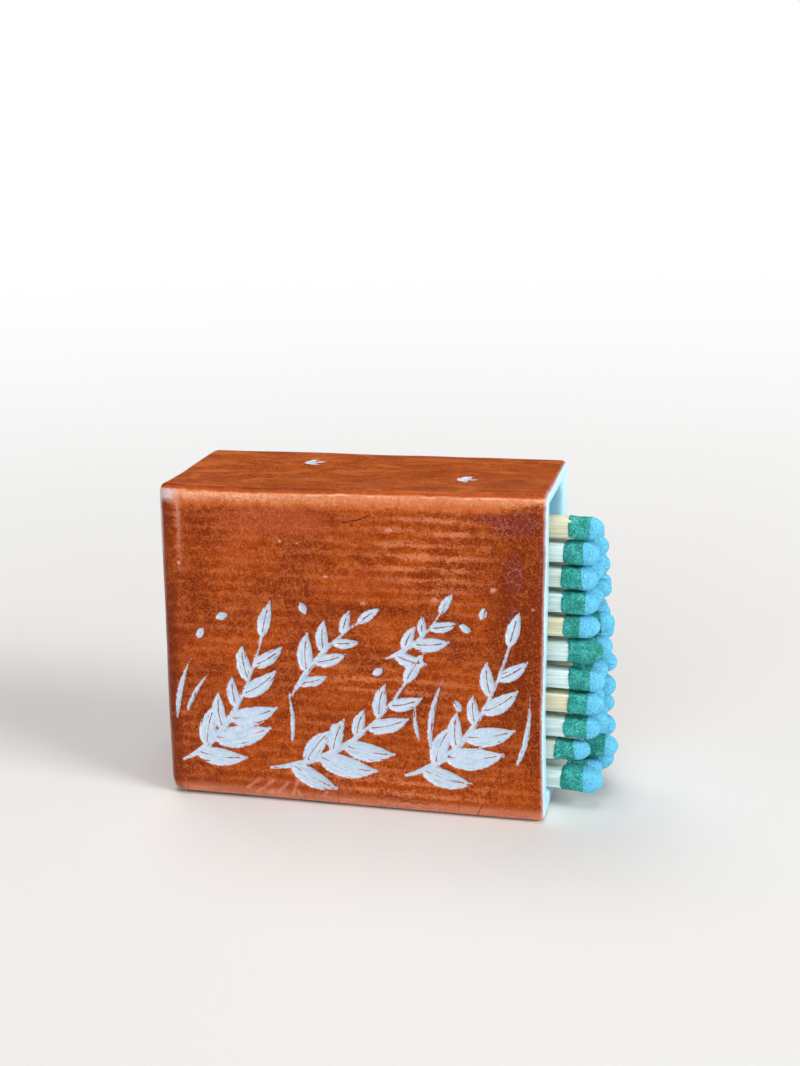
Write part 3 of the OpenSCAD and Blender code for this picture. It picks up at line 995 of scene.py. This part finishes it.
def shape_head(head, middle, tip, node, size, seed):
    """Gives one head its own size, roughness, start and second dip."""
    co = points_of(head)
    stretch = HEAD_STRETCH.get(node, 1)
    co[:, 0] = tip + (co[:, 0] - tip) * stretch
    from_tip = (tip - co[:, 0]) / MM
    head_len = HEAD_LEN / MM * stretch
    dip = SECOND_DIP_LEN.get(node, TIP_LEN / MM * (1 + 0.12 * math.sin(seed * 2.4)))
    if node == SINGLE_DIP:
        dip = -9
    slant = 0.09 * math.sin(seed * 1.7) * (co[:, 2] - middle.z) / MM + 0.06 * math.cos(seed) * (co[:, 1] - middle.y) / MM
    past_dip = dip - from_tip + slant
    second = smooth_step(-0.05, 0.05, past_dip)
    out = co - np.array([0, middle.y, middle.z])
    out[:, 0] = 0
    reach = np.linalg.norm(out, axis=1)
    reach[reach < 1e-9] = 1
    rough = wavy(co, 0.34 * MM, seed) * 0.035 * (1 - 0.4 * second) + wavy(co, 1.5 * MM, seed + 3) * 0.045
    rough += 0.025 * second + (size - 1) * reach / MM * smooth_step(head_len, head_len - 0.8, from_tip)
    body = smooth_step(0.0, 0.6, from_tip)
    co += out / reach[:, None] * (rough * body * MM)[:, None]
    start_zone = smooth_step(head_len - 0.9, head_len, from_tip)
    around = np.stack([co[:, 0] * 0, co[:, 1], co[:, 2]], axis=1)
    co[:, 0] += start_zone * wavy(around, 2.2 * MM, seed + 5) * 0.3 * MM
    droop(co, node)
    set_points(head, co)
    set_attribute(head, "into_second_dip", past_dip)
    set_attribute(head, "from_start", head_len - from_tip)


def shape_splint(splint, node, middle, tip, cream, seed):
    """Wanders a little along its length, and thins where the head covers it."""
    co = points_of(splint)
    head_start = tip - HEAD_LEN * HEAD_STRETCH.get(node, 1)
    covered = smooth_step(head_start + 0.3 * MM, head_start + 0.9 * MM, co[:, 0])
    for axis in (1, 2):
        co[:, axis] += (middle[axis] - co[:, axis]) * 0.4 * covered
    line = np.stack([co[:, 0], co[:, 1] * 0, co[:, 2] * 0], axis=1)
    co[:, 1] += wavy(line, 9 * MM, seed) * 0.05 * MM
    co[:, 2] += wavy(line, 7 * MM, seed + 9) * 0.03 * MM
    droop(co, node)
    set_points(splint, co)
    set_attribute(splint, "cream", np.full(len(co), cream))


def place_match(column, row, node, patterns, materials):
    """Copies the patterns onto one match's place, each with its own small faults."""
    low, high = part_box(node)
    turn = math.radians(SPLINT_TURN * math.sin(math.radians(137.5 * (row + 1) + 90 * column)))
    middle = (low + high) / 2
    seed = column * 17 + row
    spin = Matrix.Rotation(turn, 4, "X")
    made = []
    for kind, pattern in patterns.items():
        piece = pattern.copy()
        piece.data = pattern.data.copy()
        piece.name = f"{node}_{kind}"
        bpy.context.scene.collection.objects.link(piece)
        start = low.x if kind == "splint" else high.x
        piece.data.transform(Matrix.Translation((start, middle.y, middle.z)) @ spin)
        piece.data.materials.clear()
        piece.data.materials.append(materials[kind])
        made.append(piece)
    splint, head = made
    in_front = column == 0
    size = FRONT_HEAD_SIZES[row] if in_front else 0.96 + 0.05 * math.sin(seed * 2.1)
    cream = FRONT_CREAM[row] if in_front else 0.5 + 0.5 * math.sin(seed * 1.3)
    shape_head(head, middle, high.x, node, size, seed)
    shape_splint(splint, node, middle, high.x, cream, seed)
    for piece in made:
        make_active(piece)
        if piece is head:
            bpy.ops.object.shade_smooth()
        else:
            bpy.ops.object.shade_smooth_by_angle(angle=math.radians(35))
        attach(piece, node)
        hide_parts(node)


def make_matches():
    node_names = [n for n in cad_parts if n.startswith("match_")]
    low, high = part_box(node_names[0])
    patterns = {"splint": model_splint(high.x - low.x - TIP_COVER), "head": model_head()}
    materials = {"splint": wood_material(), "head": head_material()}
    for node in sorted(node_names):
        _, column, row = node.split("_")
        place_match(COLUMNS.index(column), int(row) - 1, node, patterns, materials)
    for pattern in patterns.values():
        bpy.data.objects.remove(pattern)


# The stage, the light and the camera

def white_far_off(tree, shader, far):
    """Lets the pale surface pass to plain white where it is seen far off, and not in how it lights."""
    rays = tree.nodes.new("ShaderNodeLightPath")
    seen = maths(tree, "MAXIMUM", rays.outputs["Is Camera Ray"], rays.outputs["Is Glossy Ray"])
    seen = maths(tree, "MAXIMUM", seen, rays.outputs["Is Transmission Ray"])
    white = tree.nodes.new("ShaderNodeEmission")
    blend = tree.nodes.new("ShaderNodeMixShader")
    feed(blend.inputs[0], maths(tree, "MULTIPLY", far, seen))
    tree.links.new(shader.outputs[0], blend.inputs[1])
    tree.links.new(white.outputs[0], blend.inputs[2])
    tree.links.new(blend.outputs[0], tree.nodes["Material Output"].inputs["Surface"])


def make_floor():
    """A pale floor that fades to white away from the part."""
    deselect_all()
    bpy.ops.mesh.primitive_circle_add(vertices=64, radius=FLOOR_REACH, fill_type="NGON")
    floor = bpy.context.object
    floor.name = "studio_floor"
    make_active(floor)
    bpy.ops.object.mode_set(mode="EDIT")
    bpy.ops.mesh.select_all(action="SELECT")
    bpy.ops.mesh.inset(thickness=FLOOR_REACH - FADE_TO)
    bpy.ops.object.mode_set(mode="OBJECT")
    material, tree, shader = new_material("pale_floor", Roughness=0.85, Specular_IOR_Level=0.2)
    mottle = clouds(tree, place(tree), 0.01, 2)
    feed(shader.inputs["Base Color"], mixed(tree, mottle, plain(224, 222, 219), plain(230, 228, 225)))
    off_part = tree.nodes.new("ShaderNodeVectorMath")
    off_part.operation = "LENGTH"
    feed(off_part.inputs[0], place(tree, (MM, MM, MM)))
    nearness = maths(tree, "DIVIDE", FADE_EASE, maths(tree, "ADD", off_part.outputs["Value"], FADE_EASE))
    nearest, farthest = (FADE_EASE / (reach + FADE_EASE) for reach in (FADE_FROM, FADE_TO))
    far = ramp(tree, nearness, nearest, farthest)
    white_far_off(tree, shader, far)
    floor.data.materials.append(material)


def add_lamp(name, at, size, watts, colour):
    deselect_all()
    bpy.ops.object.light_add(type="AREA", location=at)
    lamp = bpy.context.object
    lamp.name = name
    lamp.data.size = size
    lamp.data.energy = watts
    lamp.data.color = colour
    lamp.rotation_mode = "QUATERNION"
    lamp.rotation_quaternion = (Vector((0, 0, 0.02)) - Vector(at)).to_track_quat("-Z", "Y")


def light_the_scene():
    for name, at, size, watts, colour in LAMPS:
        add_lamp(name, at, size, watts, colour)
    world = bpy.data.worlds.new("pale_room")
    bpy.context.scene.world = world
    world.use_nodes = True
    tree = world.node_tree
    room = tree.nodes["Background"]
    room.inputs["Color"].default_value = (0.92, 0.95, 1.0, 1)
    backdrop = tree.nodes.new("ShaderNodeBackground")
    backdrop.inputs["Color"].default_value = (1, 1, 1, 1)
    rays = tree.nodes.new("ShaderNodeLightPath")
    direction = tree.nodes.new("ShaderNodeTexCoord")
    parts = tree.nodes.new("ShaderNodeSeparateXYZ")
    feed(parts.inputs[0], direction.outputs["Generated"])
    low_down = ramp(tree, parts.outputs[2], BACKDROP_TOP, BACKDROP_TOP * 0.5)
    mirrored = maths(tree, "MAXIMUM", rays.outputs["Is Glossy Ray"], rays.outputs["Is Transmission Ray"])
    shown = maths(tree, "MAXIMUM", rays.outputs["Is Camera Ray"], maths(tree, "MULTIPLY", mirrored, low_down))
    feed(room.inputs["Strength"], maths(tree, "MULTIPLY_ADD", mirrored, -0.7 * ROOM_LIGHT, ROOM_LIGHT))
    blend = tree.nodes.new("ShaderNodeMixShader")
    feed(blend.inputs[0], shown)
    tree.links.new(room.outputs[0], blend.inputs[1])
    tree.links.new(backdrop.outputs[0], blend.inputs[2])
    tree.links.new(blend.outputs[0], tree.nodes["World Output"].inputs["Surface"])


def make_camera():
    deselect_all()
    bpy.ops.object.camera_add()
    camera = bpy.context.object
    camera.name = "photo_camera"
    camera.data.sensor_width = 36
    camera.data.lens = FOCAL_PIXELS * camera.data.sensor_width / PHOTO_LONG_SIDE
    camera.data.clip_start = 0.01
    camera.matrix_world = (
        Matrix.Translation(CAMERA_AT)
        @ Matrix.Rotation(math.radians(CAMERA_YAW), 4, "Z")
        @ Matrix.Rotation(math.radians(90 + CAMERA_PITCH), 4, "X")
        @ Matrix.Rotation(math.radians(CAMERA_ROLL), 4, "Z")
    )
    bpy.context.scene.camera = camera


make_holder()
make_matches()
make_floor()
light_the_scene()
make_camera()
bpy.context.scene.view_settings.view_transform = "Standard"
deselect_all()
